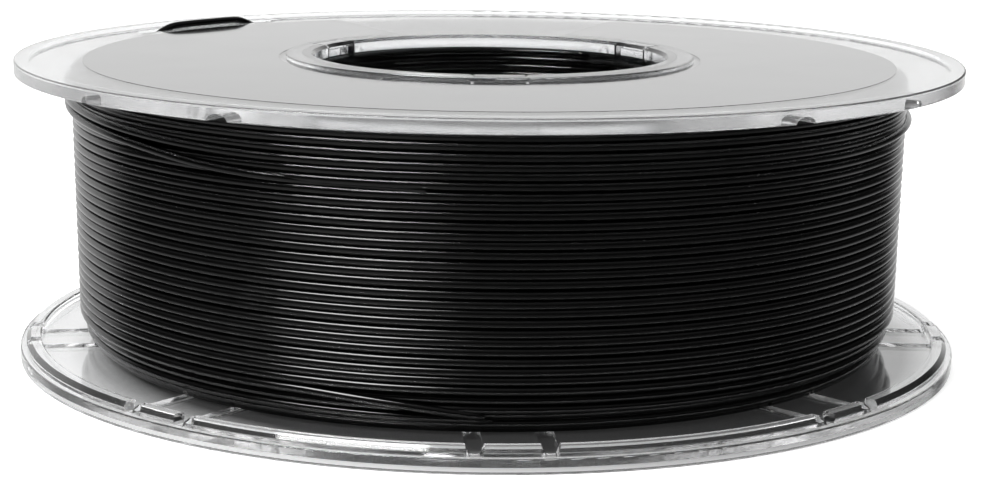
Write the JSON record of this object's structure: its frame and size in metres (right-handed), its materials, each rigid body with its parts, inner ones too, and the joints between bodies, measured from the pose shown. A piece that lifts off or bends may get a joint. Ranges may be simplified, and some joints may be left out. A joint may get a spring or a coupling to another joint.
{
  "type": "filament spool",
  "caption": "Clear plastic spool for a 3D printer, fully wound with black filament whose free end is threaded through the upper flange.",
  "frame": {"origin": "centre of the lower flange's outer face, where the spool stands", "axes": "+Z is the spool's axis, from the lower flange to the upper flange; -Y is the front"},
  "size_m": [0.2, 0.2, 0.0643],
  "materials": {
    "clear_plastic": "clear moulded, glossy",
    "black_filament": "extruded, glossy",
    "label_paper": "satin printed sheet, no print"
  },
  "bodies": {
    "root": {"lower_flange": "clear_plastic", "upper_flange": "clear_plastic", "hub_barrel": "clear_plastic", "flange_label": "label_paper", "filament_first_layer": "black_filament", "filament_buried_layers": "black_filament", "filament_under_layer": "black_filament", "filament_last_layer": "black_filament", "filament_tail": "black_filament"}
  },
  "joints": []
}
